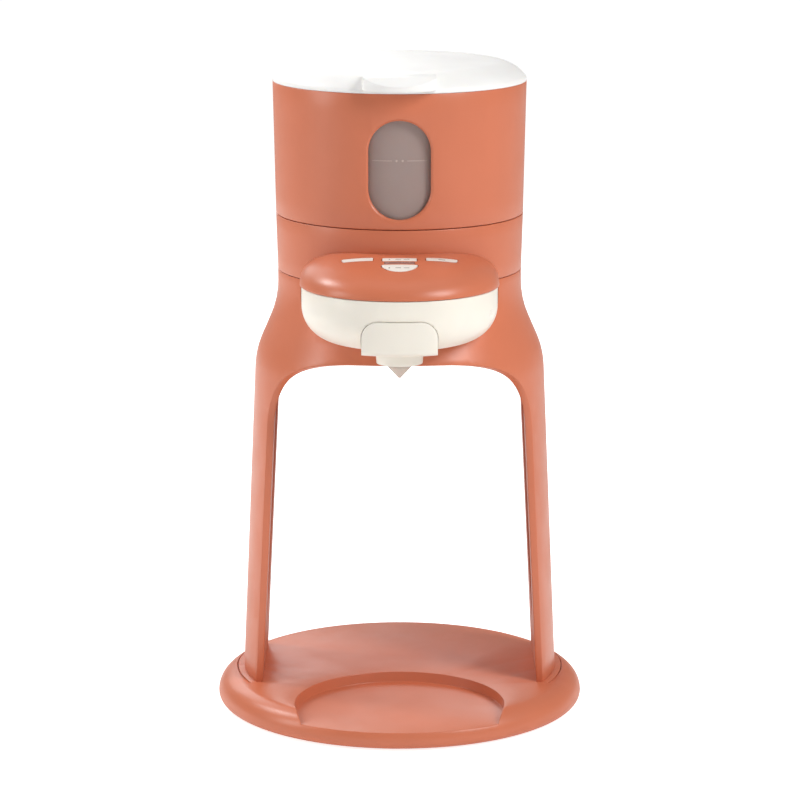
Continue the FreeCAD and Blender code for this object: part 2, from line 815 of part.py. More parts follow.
def tank_socket():
    top = dim.chassis_level + dim.chassis_thick
    flange = disc(12, top, top + 1.2, 0, TOWER_Y)
    tube = disc(5, dim.chassis_level - 7, top + 0.2, 0, TOWER_Y)
    bore = disc(3.6, dim.chassis_level - 8, top + 2, 0, TOWER_Y)
    arm = block(-4, 4, TOWER_Y - 0.6, TOWER_Y + 0.6, top - 2, top - 0.5)
    pusher = disc(1.2, top - 2, top + 1.1, 0, TOWER_Y)
    return joined(cut(joined(flange, tube), bore), arm, pusher)


TAB_REACH = 8
TAB_RADIUS = 21
TAB_HALF_WIDTH = 16.6
COLLAR_SLEEVE = 49.7
COLLAR_FLANGE = 52.2


def lid():
    level = dim.lid_level
    shell = turned(lid_corners(), TOWER_Y)
    # front tab: a wedge that slopes down and forward from the crown, round in plan
    front = TOWER_Y - dim.lid_radius - TAB_REACH
    wedge = extruded("YZ_Plane", [
        (front, level + 1.5),
        (-42, level + 1.5),
        (-42, level + 8),
        (-50, level + 7.3),
        (front, level + 3.9),
    ], TAB_HALF_WIDTH * 2, both_ways=True)
    round_front = disc(TAB_RADIUS, level, level + 10, 0, front + TAB_RADIUS)
    hollow = disc(dim.lid_radius - 4, level - 1, level + 2.5, 0, TOWER_Y)
    outside = cut(shared(wedge, round_front), hollow)
    knuckle = rod_x(dim.knuckle_radius, -7.7, 7.7, dim.hinge_y, dim.hinge_level)
    arm = block(-7.7, 7.7, 66, dim.hinge_y, level, dim.hinge_level + 1.8)
    pin_hole = rod_x(dim.pin_radius + dim.running_gap, -20, 20, dim.hinge_y, dim.hinge_level)
    return cut(joined(shell, outside, knuckle, arm), pin_hole)


def lid_corners():
    """Half section of the lid: flat rim, sloping edge and a low crown."""
    level = dim.lid_level
    return [
        (0, level + dim.lid_rise - 2.6),
        (43, level + dim.lid_rise - 3.2),
        (COLLAR_SLEEVE + 0.1, level + 4),
        (COLLAR_SLEEVE + 0.1, level),
        (dim.lid_radius, level),
        (dim.lid_radius, level + 1.3, 17),
        (50, level + 8, 20),
        (44.8, level + 8.75),
        (0, level + dim.lid_rise),
    ]


def lid_collar():
    """Ring that snaps up into the lid and centres it in the tank's mouth."""
    level = dim.lid_level
    return turned([
        (COLLAR_SLEEVE - 2.1, level - 1.8),
        (COLLAR_FLANGE, level - 1.8),
        (COLLAR_FLANGE, level - 0.05),
        (COLLAR_SLEEVE, level - 0.05),
        (COLLAR_SLEEVE, level + 3),
        (COLLAR_SLEEVE - 2.1, level + 3),
    ], TOWER_Y)


def lid_seal():
    low = dim.lid_level - 1.5
    outer = disc(dim.tank_radius - dim.tank_wall - 0.15, low, low + 1.1, 0, TOWER_Y)
    return cut(outer, disc(COLLAR_FLANGE + 0.05, low - 1, low + 3, 0, TOWER_Y))


def lid_hinge_pin():
    return rod_x(dim.pin_radius, -13.2, 13.2, dim.hinge_y, dim.hinge_level)


# ---------------------------------------------------------------- control panel

def panel_section(inset, level):
    """Horizontal section of the visor: straight sides, half-ellipse front."""
    rise = number(dim.panel_rise) - inset
    share = 1 - (level / rise) ** 2
    half = (number(dim.panel_half_width) - inset) * share ** 0.25
    reach = (number(dim.panel_reach) - inset) * share ** 0.5
    centre = Vector(0, number(dim.panel_y), level + number(dim.band_level))
    back_y = number(TOWER_Y) - 20
    side = Vector(half, 0, 0)
    front = Part.ArcOfEllipse(Part.Ellipse(centre, half, reach), math.pi, 2 * math.pi)
    left_back = Vector(-half, back_y, centre.z)
    right_back = Vector(half, back_y, centre.z)
    edges = [
        front.toShape(),
        Part.makeLine(centre + side, right_back),
        Part.makeLine(right_back, left_back),
        Part.makeLine(left_back, centre - side),
    ]
    return Part.Wire(edges)


def panel_dome(inset, low):
    """Solid visor shape, moved inward by inset, from a low level up to its crown."""
    rise = number(dim.panel_rise) - inset
    steps = 14
    top_angle = math.asin(0.99)
    low_angle = math.asin(low / rise)
    sections = []
    for step in range(steps + 1):
        angle = low_angle + (top_angle - low_angle) * step / steps
        sections.append(panel_section(inset, rise * math.sin(angle)))
    return solid(Part.makeLoft(sections, True, False))


def tower_core(gap, low, high):
    """Solid cylinder-like core that keeps parts outside the tower."""
    return turned([
        (0, low),
        (dim.band_radius + gap, low),
        (dim.tank_base_radius + gap, dim.tank_level),
        (dim.tank_base_radius + gap + 0.3, high),
        (0, high),
    ], TOWER_Y)


PANEL_LOW = 0.2
PANEL_HOLLOW_LOW = 0.1
PANEL_POSTS = [(-34, -52), (34, -52), (0, -78.5)]
BUTTON_BACK_Y = -55.5
BUTTON_FRONT_Y = -59.5
HALF_MOON_BACK_Y = -64
HALF_MOON_RADIUS = 8.4
HALF_MOON_MIDDLE_Y = -66.8
BUTTON_CORNER = 0.8
STRIP_HALF_WIDTH = 7
STRIP_BACK_Y = -60.4
STRIP_FRONT_Y = -63.1
BOARD_THICK = 1.4
SWITCH_HEIGHT = 1.6
BUTTON_TRAVEL_GAP = 0.9
SPRAY_Y = -52


def button_outlines():
    """Plan of each button: three in a row and a half-moon in front of the middle one."""
    right = [(25.4, -56.9), (26.8, -53.4), (12.1, -54.3), (12.1, -58.3)]
    return {
        "button_left": [(-x, y) for x, y in reversed(right)],
        "button_centre": [(7.8, BUTTON_FRONT_Y), (7.8, BUTTON_BACK_Y), (-7.8, BUTTON_BACK_Y),
                          (-7.8, BUTTON_FRONT_Y)],
        "button_right": right,
        "button_front": [(-8.3, HALF_MOON_BACK_Y, HALF_MOON_RADIUS), (8.3, HALF_MOON_BACK_Y)],
    }


def middle_of(corners):
    """Middle of a button's outline; the half-moon has only two corners."""
    middle_x = sum(corner[0] for corner in corners) / len(corners)
    if len(corners) == 2:
        return middle_x, HALF_MOON_MIDDLE_Y
    return middle_x, sum(corner[1] for corner in corners) / len(corners)


def grown(corners, amount):
    """Outline moved outward by a gap, for the opening around a button."""
    if len(corners) == 2:
        (left, back, radius), (right, _) = corners
        wider_left = (left - amount * 2, back + amount, radius + amount * 2)
        return [wider_left, (right + amount * 2, back + amount)]
    middle_x, middle_y = middle_of(corners)
    wider = []
    for corner in corners:
        shift_x = amount if corner[0] > middle_x else -amount
        shift_y = amount if corner[1] > middle_y else -amount
        wider.append((corner[0] + shift_x, corner[1] + shift_y))
    return wider


def button_prism(corners, corner_radius):
    """Upright block of a button's outline, with its corners rounded in plan."""
    def upright(edge):
        box = edge.BoundBox
        return box.XMax - box.XMin < 0.01 and box.YMax - box.YMin < 0.01

    prism = slab(corners, dim.board_level, dim.band_level + 20)
    rounded(prism, upright, corner_radius)
    return prism


def control_panel():
    dome = panel_dome(0, PANEL_LOW)
    hollow = panel_dome(number(dim.panel_wall), PANEL_HOLLOW_LOW)
    core = tower_core(0.15, dim.band_level - 1, dim.band_level + 20)
    gap = dim.button_gap.value
    openings = [button_prism(grown(corners, gap), BUTTON_CORNER + gap)
                for corners in button_outlines().values()]
    openings.append(block(-STRIP_HALF_WIDTH, STRIP_HALF_WIDTH, STRIP_FRONT_Y, STRIP_BACK_Y,
                          dim.board_level, dim.band_level + 20))
    shell = cut(dome, hollow, core, *openings)
    low = dim.band_level + 2.8
    posts = [shared(dome, disc(2.6, low, dim.band_level + 16, x, y)) for x, y in PANEL_POSTS]
    holes = [disc(1.2, low - 1, dim.band_level + 7, x, y) for x, y in PANEL_POSTS]
    return cut(joined(shell, *posts), *holes)


def indicator_strip():
    """Lamp window between the centre button and the half-moon, on a leg that reaches the board."""
    gap = 0.05
    lens = block(-STRIP_HALF_WIDTH + gap, STRIP_HALF_WIDTH - gap, STRIP_FRONT_Y + gap,
                 STRIP_BACK_Y - gap, dim.board_level + BOARD_THICK + 0.1, dim.band_level + 20)
    return shared(panel_dome(0.15, PANEL_LOW), lens)


def button(name):
    corners = button_outlines()[name]
    cap = shared(panel_dome(0, PANEL_LOW), button_prism(corners, BUTTON_CORNER))
    hollow = panel_dome(number(dim.panel_wall) + 0.2, PANEL_HOLLOW_LOW)
    middle_x, middle_y = middle_of(corners)
    stem_low = dim.board_level + BOARD_THICK + SWITCH_HEIGHT + BUTTON_TRAVEL_GAP
    stem_top = panel_dome(number(dim.panel_wall) - 0.5, PANEL_HOLLOW_LOW)
    stem = shared(stem_top, disc(1.6, stem_low, dim.band_level + 20, middle_x, middle_y))
    return joined(cut(cap, hollow), stem)


def button_left():
    return button("button_left")


def button_centre():
    return button("button_centre")


def button_right():
    return button("button_right")


def button_front():
    return button("button_front")


def button_board():
    low = dim.board_level
    plate = block(-30, 30, -73.5, -52.6, low, low + BOARD_THICK)
    envelope = panel_dome(number(dim.panel_wall) + 0.3, PANEL_HOLLOW_LOW)
    posts = [disc(3, low - 1, low + 3, x, y) for x, y in PANEL_POSTS]
    nozzle_notch = disc(4, low - 1, low + 3, 0, SPRAY_Y)
    return cut(shared(plate, envelope), nozzle_notch, *posts)


def tact_switches():
    low = dim.board_level + BOARD_THICK
    switches = []
    for corners in button_outlines().values():
        x, y = middle_of(corners)
        case = block(x - 2, x + 2, y - 2, y + 2, low, low + 1.1)
        plunger = disc(1.2, low + 1, low + SWITCH_HEIGHT, x, y)
        switches.append(joined(case, plunger))
    return group(switches)


def spray_plate():
    """Underside of the visor: closes it and carries the water nozzle."""
    low = dim.band_level + PANEL_LOW
    half = dim.panel_half_width - dim.panel_wall - 1.4
    plate = slab(d_plan(half, half, dim.panel_y, -20), low, low + 2.4)
    core = tower_core(0.2, dim.band_level - 1, dim.band_level + 20)
    boss = disc(3.4, low + 1, low + 7.5, 0, SPRAY_Y)
    nipple = rod_y(1.9, -52, -46.4, 0, low + 5.2)
    bore = disc(1.1, low - 1, low + 5.5, 0, SPRAY_Y)
    holes = [disc(1.5, low - 1, low + 5, x, y) for x, y in PANEL_POSTS]
    sinks = [disc(2.7, low - 1, low + 1.2, x, y) for x, y in PANEL_POSTS]
    bore_back = rod_y(0.9, -52.2, -40, 0, low + 5.2)
    return cut(joined(cut(plate, core), boss, nipple), bore, bore_back, *holes, *sinks)


def panel_screws():
    low = dim.band_level + PANEL_LOW
    return group([screw(2.5, low + 0.2, low + 1.2, 1.15, low + 6, x, y) for x, y in PANEL_POSTS])


# ---------------------------------------------------------------- powder drawer and spout

SPOUT_SEAL_RADIUS = 10.8


def bowl_outline(inset, back_y):
    half = dim.bowl_radius - inset
    return d_plan(half, half, dim.bowl_y, back_y)


def bowl_solid(inset, bottom, top, bend, back_y):
    """D-shaped block with its bottom edge rounded round the sides and front."""
    body = extruded("XY_Plane", bowl_outline(inset, back_y), as_size(top) - bottom)
    back = number(back_y)

    def lower_front(edge):
        box = edge.BoundBox
        return box.ZMax < 0.01 and not (box.YMax - box.YMin < 0.01 and abs(box.YMax - back) < 0.01)

    rounded(body, lower_front, bend)
    place(body, 0, 0, bottom)
    return body


def spout_blank(extra, back_extra, low, front=-100):
    """Box with rounded upper corners that the spout block slides in."""
    half = dim.spout_half_width + extra
    top = dim.spout_top + extra
    bend = 8 + number(extra)
    corners = [
        (-half, low),
        (half, low),
        (half, top - bend, bend),
        (half - bend, top),
        (bend - half, top, bend),
        (-half, top - bend),
    ]
    blank = extruded("XZ_Plane", corners, dim.spout_back + back_extra - front, 0, reverse=False)
    place(blank, 0, dim.spout_back + back_extra, 0)
    return blank


def powder_drawer():
    wall = dim.bowl_wall
    outer = bowl_solid(0, dim.bowl_bottom, dim.bowl_top, dim.bowl_bend, dim.bowl_back)
    inner = bowl_solid(wall, dim.bowl_bottom + wall, dim.bowl_top + 5, dim.bowl_bend - wall,
                       dim.bowl_back - wall)
    pocket_skin = spout_blank(1.8, 1.8, dim.bowl_bottom - 1)
    pocket = spout_blank(dim.slide_gap, dim.slide_gap, dim.bowl_bottom - 5)
    dosing_hole = disc(6, dim.spout_top - 1, dim.spout_top + 4, 0, dim.spout_y)
    return cut(outer, cut(inner, pocket_skin), pocket, dosing_hole)


def spout_block():
    face = bowl_solid(-dim.spout_face, dim.bowl_bottom, dim.bowl_top, dim.spout_face_bend, dim.bowl_back)
    blank = shared(spout_blank(0, 0, dim.bowl_bottom), face)
    tube = cone(dim.spout_tube_radius - 0.5, dim.spout_tube_radius, dim.spout_tube_bottom,
                dim.bowl_bottom + 0.3, 0, dim.spout_y)
    chamber = disc(9, dim.bowl_bottom + 3, dim.spout_top + 1, 0, dim.spout_y)
    throat = disc(5.6, dim.bowl_bottom - 20, dim.bowl_bottom + 5, 0, dim.spout_y)
    well = disc(8, dim.spout_tube_bottom - 1, dim.spout_tube_bottom + 2.4, 0, dim.spout_y)
    groove = cut(disc(SPOUT_SEAL_RADIUS + 1, dim.spout_top - 1.9, dim.spout_top + 1, 0, dim.spout_y),
                 disc(SPOUT_SEAL_RADIUS - 1, dim.spout_top - 3, dim.spout_top + 3, 0, dim.spout_y))
    return cut(joined(blank, tube), chamber, throat, well, groove)


def spout_seal():
    return ring(SPOUT_SEAL_RADIUS, 0.55, 0, dim.spout_y, dim.spout_top - 1.2)


def duckbill_nozzle():
    top = dim.spout_tube_bottom + 2.3
    flange = disc(7.9, top - 1.2, top, 0, dim.spout_y)
    shoulder = dim.nozzle_tip + 5.3
    neck = disc(5.4, shoulder, top + 2, 0, dim.spout_y)
    bill = cone(0.5, 5.4, dim.nozzle_tip, shoulder, 0, dim.spout_y)
    hollow = joined(cone(0.3, 4.2, dim.nozzle_tip + 1.6, shoulder, 0, dim.spout_y),
                    disc(4.2, shoulder - 0.1, top + 3, 0, dim.spout_y))
    slit = block(-1.6, 1.6, dim.spout_y - 0.15, dim.spout_y + 0.15, dim.nozzle_tip - 1,
                 dim.nozzle_tip + 3)
    return cut(joined(flange, neck, bill), hollow, slit)


def drawer_guide():
    """Tray under the drawer with a fence on each side."""
    top = dim.bowl_bottom - 0.3
    plate = block(-30, 30, -34, -2, top - 1.6, top)
    floor_top = dim.floor_level + dim.floor_thick
    legs = [block(x - 1.5, x + 1.5, -30, -4, floor_top, top - 1) for x in (-20, 20)]
    stop = block(-30, 30, -4.4, -2.8, top - 1, top + 8)
    return joined(plate, stop, *legs)


# ---------------------------------------------------------------- pump, heater and water path

PUMP_Y = 34.0
PUMP_Z = 197.0
PUMP_FEET = [(-30, 22), (-30, 46), (8, 28), (8, 44)]


def pump_body():
    barrel = rod_x(8.5, -36, 8, PUMP_Y, PUMP_Z)
    nipples = [rod_x(2.4, -38.5, -35, PUMP_Y, PUMP_Z), rod_x(2.4, 7, 13, PUMP_Y, PUMP_Z)]
    bore = rod_x(1.5, -45, 20, PUMP_Y, PUMP_Z)
    chamber = rod_x(5.05, -26, 2, PUMP_Y, PUMP_Z)
    return cut(joined(barrel, *nipples), bore, chamber)


def pump_piston():
    core = rod_x(5, -20, -4, PUMP_Y, PUMP_Z)
    return cut(core, rod_x(1.6, -30, 10, PUMP_Y, PUMP_Z))


def pump_coil():
    winding = block(-22, 2, PUMP_Y - 15, PUMP_Y + 15, PUMP_Z - 12, PUMP_Z + 12)
    return cut(winding, rod_x(8.6, -40, 20, PUMP_Y, PUMP_Z))


def pump_mounts():
    low = dim.floor_level + dim.floor_thick
    return group([disc(4, low, low + 3, x, y) for x, y in PUMP_FEET])


def pump_bracket():
    low = dim.floor_level + dim.floor_thick + 3
    plate = block(-34, 12, 18, 50, low, low + 1.5)
    cheeks = [block(x - 0.8, x + 0.8, PUMP_Y - 12, PUMP_Y + 12, low + 1, PUMP_Z + 4) for x in (-31, 5.4)]
    saddle = rod_x(8.6, -50, 30, PUMP_Y, PUMP_Z)
    return cut(joined(plate, *cheeks), saddle)


def heater_block():
    low = dim.floor_level + dim.floor_thick
    casting = block(16, 44, 0, 26, low + 4, low + 27)
    posts = [disc(2.5, low, low + 4.5, x, y) for x in (20, 40) for y in (4, 22)]
    nipples = [disc(2.4, low + 26, low + 33, x, 13) for x in (22, 38)]
    fins = [block(15, 45, y, y + 1, low + 8, low + 24) for y in (3, 8, 18, 23)]
    bores = [disc(1.5, low + 12, low + 34, x, 13) for x in (22, 38)]
    return cut(joined(casting, *posts, *nipples, *fins), *bores)


def thermostats():
    low = dim.floor_level + dim.floor_thick + 27
    cans = [disc(3.5, low, low + 2.5, 30, y) for y in (6, 20)]
    caps = [disc(2, low + 2, low + 4, 30, y) for y in (6, 20)]
    return group([joined(can, cap) for can, cap in zip(cans, caps)])


FLOW_X = -28.0
FLOW_Y = 14.0


def flow_meter_body():
    low = dim.band_level + 3
    cup = cut(disc(11, low, low + 9, FLOW_X, FLOW_Y), disc(9.4, low + 1.5, low + 10, FLOW_X, FLOW_Y))
    nipples = [rod_x(2.2, FLOW_X - 13, FLOW_X - 10, FLOW_Y, low + 5),
               rod_x(2.2, FLOW_X + 10, FLOW_X + 13, FLOW_Y, low + 5)]
    bore = rod_x(1.2, FLOW_X - 20, FLOW_X + 20, FLOW_Y, low + 5)
    axle = disc(1, low + 1, low + 8, FLOW_X, FLOW_Y)
    return joined(cut(joined(cup, *nipples), bore), axle)


def flow_meter_cover():
    low = dim.band_level + 12
    return disc(11, low, low + 1.8, FLOW_X, FLOW_Y)


def flow_meter_rotor():
    low = dim.band_level + 5
    hub = disc(2.6, low, low + 5.5, FLOW_X, FLOW_Y)
    vanes = [block(FLOW_X - 8.4, FLOW_X + 8.4, FLOW_Y - 0.5, FLOW_Y + 0.5, low + 0.5, low + 5),
             block(FLOW_X - 0.5, FLOW_X + 0.5, FLOW_Y - 8.4, FLOW_Y + 8.4, low + 0.5, low + 5)]
    return cut(joined(hub, *vanes), disc(1 + number(dim.running_gap), low - 1, low + 7, FLOW_X, FLOW_Y))


UP = (0, 0, 1)
DOWN = (0, 0, -1)
LEFT = (-1, 0, 0)
RIGHT = (1, 0, 0)
FORWARD = (0, -1, 0)


def suction_hose():
    return hose([(0, 9.5, 225.6), (1, 12, 215.5), (4.5, 18, 211.5), (8.5, 27, 209), (14, 33, 207),
                 (20.5, 35, 202), (14.2, 34, 197)], DOWN, LEFT, 2.8, 1.8)


def pump_hose():
    return hose([(-39.4, 34, 197), (-45, 31, 200), (-47.2, 25, 206), (-47.6, 18, 212.5),
                 (-46.6, 14.5, 216.6), (-41.9, 14, 218)], LEFT, RIGHT, 2, 1.3)


def heater_hose():
    return hose([(-14.1, 14, 218), (-8, 17, 219), (2, 24, 219.5), (14, 22, 219), (21, 15, 216.5),
                 (22, 13, 212.2)], RIGHT, DOWN, 2.4, 1.5)


def outlet_hose():
    return hose([(38, 13, 212.2), (38, 9, 215.4), (35, -2, 215.2), (22, -22, 214.6), (7, -38, 215),
                 (0, -46, 215.4)], UP, FORWARD, 2.3, 1.4)


# ---------------------------------------------------------------- electrics

def power_board():
    low = dim.band_level + 9
    return block(-30, 30, -32, -4, low, low + 1.6)


def board_components():
    low = dim.band_level + 10.6
    relay = [block(-26, -11, -28, -14, low, low + 11), block(-8, 6, -28, -15, low, low + 10)]
    capacitors = [disc(4, low, low + 9, 14, -24), disc(4, low, low + 9, 24, -24),
                  disc(2.5, low, low + 6, 15, -12)]
    connector = [block(-24, -8, -11, -6, low, low + 5), block(20, 29, -13, -6, low, low + 6)]
    return group(relay + capacitors + connector)


def wiring():
    leads = []
    for shift in (-0.9, 0.9):
        y = 9.5 + shift
        leads.append(wire_run([(-73 + shift, 29.5, 6.8), (-72.4 + shift, 24, 7), (-70.6, y + 3, 7.6),
                               (-69.9, y + 0.4, 9.6), (-69.8, y, 13), (-69.4, y, 24)], 0.7))
        leads.append(wire_run([(-69.2, y, 24.4), (-66.8, y, 80), (-62.3, y, 160), (-60.9, y, 177)], 0.7))
        leads.append(wire_run([(-60.9, y, 177.4), (-58, y, 184), (-52.5, y - 5, 196), (-48.4, y - 11, 207),
                               (-45, y - 15, 214), (-38, y - 17, 219.5), (-31, y - 17, 220)], 0.7))
    leads.append(wire_run([(8, -32.6, 222), (8, -40, 222), (9, -46, 221.4), (9, -50, 219.6),
                           (9, -53.2, 217.6)], 0.8))
    leads.append(wire_run([(-27, -3.4, 222), (-27, -1, 221), (-20, 0, 214), (-14.5, 9, 211.6),
                           (-13, 17, 210.4)], 0.8))
    return group(leads)


# ---------------------------------------------------------------- build, check and write

SUB_PARTS = [
    base_shell, base_plate, ballast_plate, rubber_feet, base_screws, cord_grommet, mains_cord,
    leg_frame, left_leg_liner, right_leg_liner, leg_screws, body_floor, floor_screws,
    pump_housing, tank_housing, chassis, chassis_screws,
    water_tank, tank_valve, tank_valve_seal, tank_valve_spring, tank_filter, tank_socket,
    lid, lid_collar, lid_seal, lid_hinge_pin,
    control_panel, button_left, button_centre, button_right, button_front, button_board,
    tact_switches, indicator_strip, spray_plate, panel_screws,
    powder_drawer, spout_block, spout_seal, duckbill_nozzle, drawer_guide,
    pump_body, pump_piston, pump_coil, pump_mounts, pump_bracket, heater_block, thermostats,
    flow_meter_body, flow_meter_cover, flow_meter_rotor,
    suction_hose, pump_hose, heater_hose, outlet_hose, power_board, board_components, wiring,
]

built = []
for make in SUB_PARTS:
    part = make()
    part.Label = make.__name__
    doc.recompute()
    built.append(part)

problems = []
for item in doc.Objects:
    if "Invalid" in item.State or "Error" in item.State:
        problems.append("%s (%s): %s" % (item.Name, item.Label, item.State))
for part in built:
    if part.Shape.isNull() or not part.Shape.isValid() or not part.Shape.Solids:
        problems.append("%s has no valid solid" % part.Label)
if problems:
    raise RuntimeError("\n".join(problems))

os.makedirs("parts", exist_ok=True)
for part in built:
    part.Shape.exportStep("parts/%s.step" % part.Label)
    print("%-20s solids %2d  volume %9.0f" % (part.Label, len(part.Shape.Solids), part.Shape.Volume))
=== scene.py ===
import math

import bmesh
import bpy
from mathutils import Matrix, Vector
from mathutils.bvhtree import BVHTree


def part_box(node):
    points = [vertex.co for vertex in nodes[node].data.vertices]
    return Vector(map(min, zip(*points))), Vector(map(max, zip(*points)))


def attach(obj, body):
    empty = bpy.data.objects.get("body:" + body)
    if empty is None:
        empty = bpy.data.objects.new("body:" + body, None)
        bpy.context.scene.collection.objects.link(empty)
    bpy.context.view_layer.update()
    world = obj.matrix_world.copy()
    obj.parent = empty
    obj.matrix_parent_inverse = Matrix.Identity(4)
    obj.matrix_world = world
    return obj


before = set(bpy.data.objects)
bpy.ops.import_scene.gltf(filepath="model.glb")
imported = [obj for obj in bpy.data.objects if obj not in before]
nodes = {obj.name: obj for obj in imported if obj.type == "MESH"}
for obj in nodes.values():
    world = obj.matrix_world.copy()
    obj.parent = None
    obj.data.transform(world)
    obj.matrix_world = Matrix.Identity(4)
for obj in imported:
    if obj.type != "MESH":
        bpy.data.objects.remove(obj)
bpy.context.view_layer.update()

# Looks for the formula dispenser. Everything is in metres, X right, Y back, Z up, and the
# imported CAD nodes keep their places: this script gives them materials and adds fine detail.

MM = 0.001


# ---------------------------------------------------------------- node helpers

def linear(red, green, blue):
    """An sRGB colour from 0 to 255 as linear RGBA."""
    def channel(value):
        value /= 255
        return value / 12.92 if value <= 0.04045 else ((value + 0.055) / 1.055) ** 2.4
    return (channel(red), channel(green), channel(blue), 1)


def shade(colour, factor):
    return tuple(min(part * factor, 1) for part in colour[:3]) + (1,)


class Tree:
    """A material's node tree with short calls for adding and linking nodes."""

    def __init__(self, name):
        self.material = bpy.data.materials.new(name)
        self.material.use_nodes = True
        self.nodes = self.material.node_tree.nodes
        self.links = self.material.node_tree.links
        self.surface = self.nodes["Principled BSDF"]
        self.place = self.add("ShaderNodeTexCoord").outputs["Object"]

    def add(self, kind, **settings):
        node = self.nodes.new(kind)
        for name, value in settings.items():
            setattr(node, name, value)
        return node

    def feed(self, value, socket):
        """Links an output, or sets a plain value."""
        if isinstance(value, bpy.types.NodeSocket):
            self.links.new(value, socket)
        else:
            socket.default_value = value

    def noise(self, scale, detail=2.0, roughness=0.5, place=None):
        node = self.add("ShaderNodeTexNoise")
        self.feed(place or self.place, node.inputs["Vector"])
        node.inputs["Scale"].default_value = scale
        node.inputs["Detail"].default_value = detail
        node.inputs["Roughness"].default_value = roughness
        return node.outputs["Fac"]

    def stretched(self, x, y, z):
        """Object coordinates scaled along each axis."""
        node = self.add("ShaderNodeMapping")
        self.feed(self.place, node.inputs["Vector"])
        node.inputs["Scale"].default_value = (x, y, z)
        return node.outputs["Vector"]

    def spread(self, value, low, high, from_low=0.0, from_high=1.0):
        """Maps a value from one range to another."""
        node = self.add("ShaderNodeMapRange")
        self.feed(value, node.inputs["Value"])
        node.inputs["From Min"].default_value = from_low
        node.inputs["From Max"].default_value = from_high
        node.inputs["To Min"].default_value = low
        node.inputs["To Max"].default_value = high
        return node.outputs["Result"]

    def mix(self, factor, first, second):
        node = self.add("ShaderNodeMix", data_type="RGBA")
        self.feed(factor, node.inputs["Factor"])
        self.feed(first, node.inputs["A"])
        self.feed(second, node.inputs["B"])
        return node.outputs["Result"]

    def math(self, operation, first, second=0.0):
        node = self.add("ShaderNodeMath", operation=operation)
        self.feed(first, node.inputs[0])
        self.feed(second, node.inputs[1])
        return node.outputs[0]

    def bump(self, height, strength, distance, normal=None):
        node = self.add("ShaderNodeBump")
        self.feed(height, node.inputs["Height"])
        node.inputs["Strength"].default_value = strength
        node.inputs["Distance"].default_value = distance
        if normal:
            self.feed(normal, node.inputs["Normal"])
        return node.outputs["Normal"]

    def soft_edges(self, radius):
        """Normal that rounds the edges, and how near an edge a point is."""
        bevel = self.add("ShaderNodeBevel", samples=6)
        bevel.inputs["Radius"].default_value = radius
        geometry = self.add("ShaderNodeNewGeometry")
        dot = self.add("ShaderNodeVectorMath", operation="DOT_PRODUCT")
        self.feed(bevel.outputs["Normal"], dot.inputs[0])
        self.feed(geometry.outputs["Normal"], dot.inputs[1])
        near = self.spread(dot.outputs["Value"], 1.0, 0.0, 0.75, 0.995)
        return bevel.outputs["Normal"], near

    def finish(self, **inputs):
        for name, value in inputs.items():
            self.feed(value, self.surface.inputs[name.replace("_", " ")])
        return self.material


# ---------------------------------------------------------------- materials

def moulded(name, colour, roughness=0.4, edge=0.6, grain=0.16, wear=0.35, sheen=0.5):
    """Satin injection-moulded plastic: spark-eroded grain, faint flow tone, lighter rubbed edges."""
    tree = Tree(name)
    normal, near = tree.soft_edges(edge * MM)
    cloud = tree.noise(14, 3, 0.55)
    flow = tree.noise(1, 2, 0.5, tree.stretched(60, 60, 9))
    tone = tree.mix(tree.spread(cloud, 0.0, 1.0, 0.3, 0.7), shade(colour, 0.955), shade(colour, 1.04))
    tone = tree.mix(tree.spread(flow, 0.0, 0.22, 0.35, 0.75), tone, shade(colour, 1.1))
    worn = tree.math("MULTIPLY", near, tree.spread(tree.noise(420, 3, 0.6), 0.2, wear, 0.35, 0.65))
    tone = tree.mix(worn, tone, shade(colour, 1.55))
    fine = tree.noise(2600, 2, 0.6)
    pits = tree.noise(900, 3, 0.65)
    texture = tree.math("ADD", fine, tree.math("MULTIPLY", pits, 0.7))
    relief = tree.bump(texture, grain, 0.00006, normal)
    smudge = tree.spread(tree.noise(38, 4, 0.6), roughness - 0.05, roughness + 0.08, 0.3, 0.7)
    gloss = tree.math("ADD", smudge, tree.math("MULTIPLY", fine, 0.05))
    return tree.finish(Base_Color=tone, Roughness=gloss, Normal=relief, Specular_IOR_Level=sheen)


def milky_white(name, colour, roughness):
    """White plastic that lets a little light into its skin."""
    material = moulded(name, colour, roughness, edge=0.7, grain=0.1, wear=0.1)
    surface = material.node_tree.nodes["Principled BSDF"]
    surface.inputs["Subsurface Weight"].default_value = 0.12
    surface.inputs["Subsurface Radius"].default_value = (0.0022, 0.0017, 0.0012)
    surface.inputs["Subsurface Scale"].default_value = 0.6
    return material


def smoked(name, colour):
    """Frosted, tinted tank wall with a faint vertical gradient and fine frosting."""
    tree = Tree(name)
    normal, _ = tree.soft_edges(0.5 * MM)
    split = tree.add("ShaderNodeSeparateXYZ")
    tree.feed(tree.place, split.inputs[0])
    low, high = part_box("water_tank")
    height = tree.spread(split.outputs["Z"], 0.0, 1.0, low.z, high.z)
    tone = tree.mix(height, shade(colour, 1.05), shade(colour, 0.97))
    tone = tree.mix(tree.spread(tree.noise(55, 4, 0.6), 0.0, 0.35, 0.35, 0.7), tone, shade(colour, 1.12))
    frost = tree.noise(3200, 2, 0.6)
    relief = tree.bump(frost, 0.12, 0.00005, normal)
    gloss = tree.spread(tree.noise(90, 3, 0.5), 0.38, 0.52, 0.3, 0.7)
    return tree.finish(Base_Color=tone, Roughness=gloss, Normal=relief, Transmission_Weight=0.12, IOR=1.49,
                       Subsurface_Weight=0.2, Subsurface_Scale=0.004)


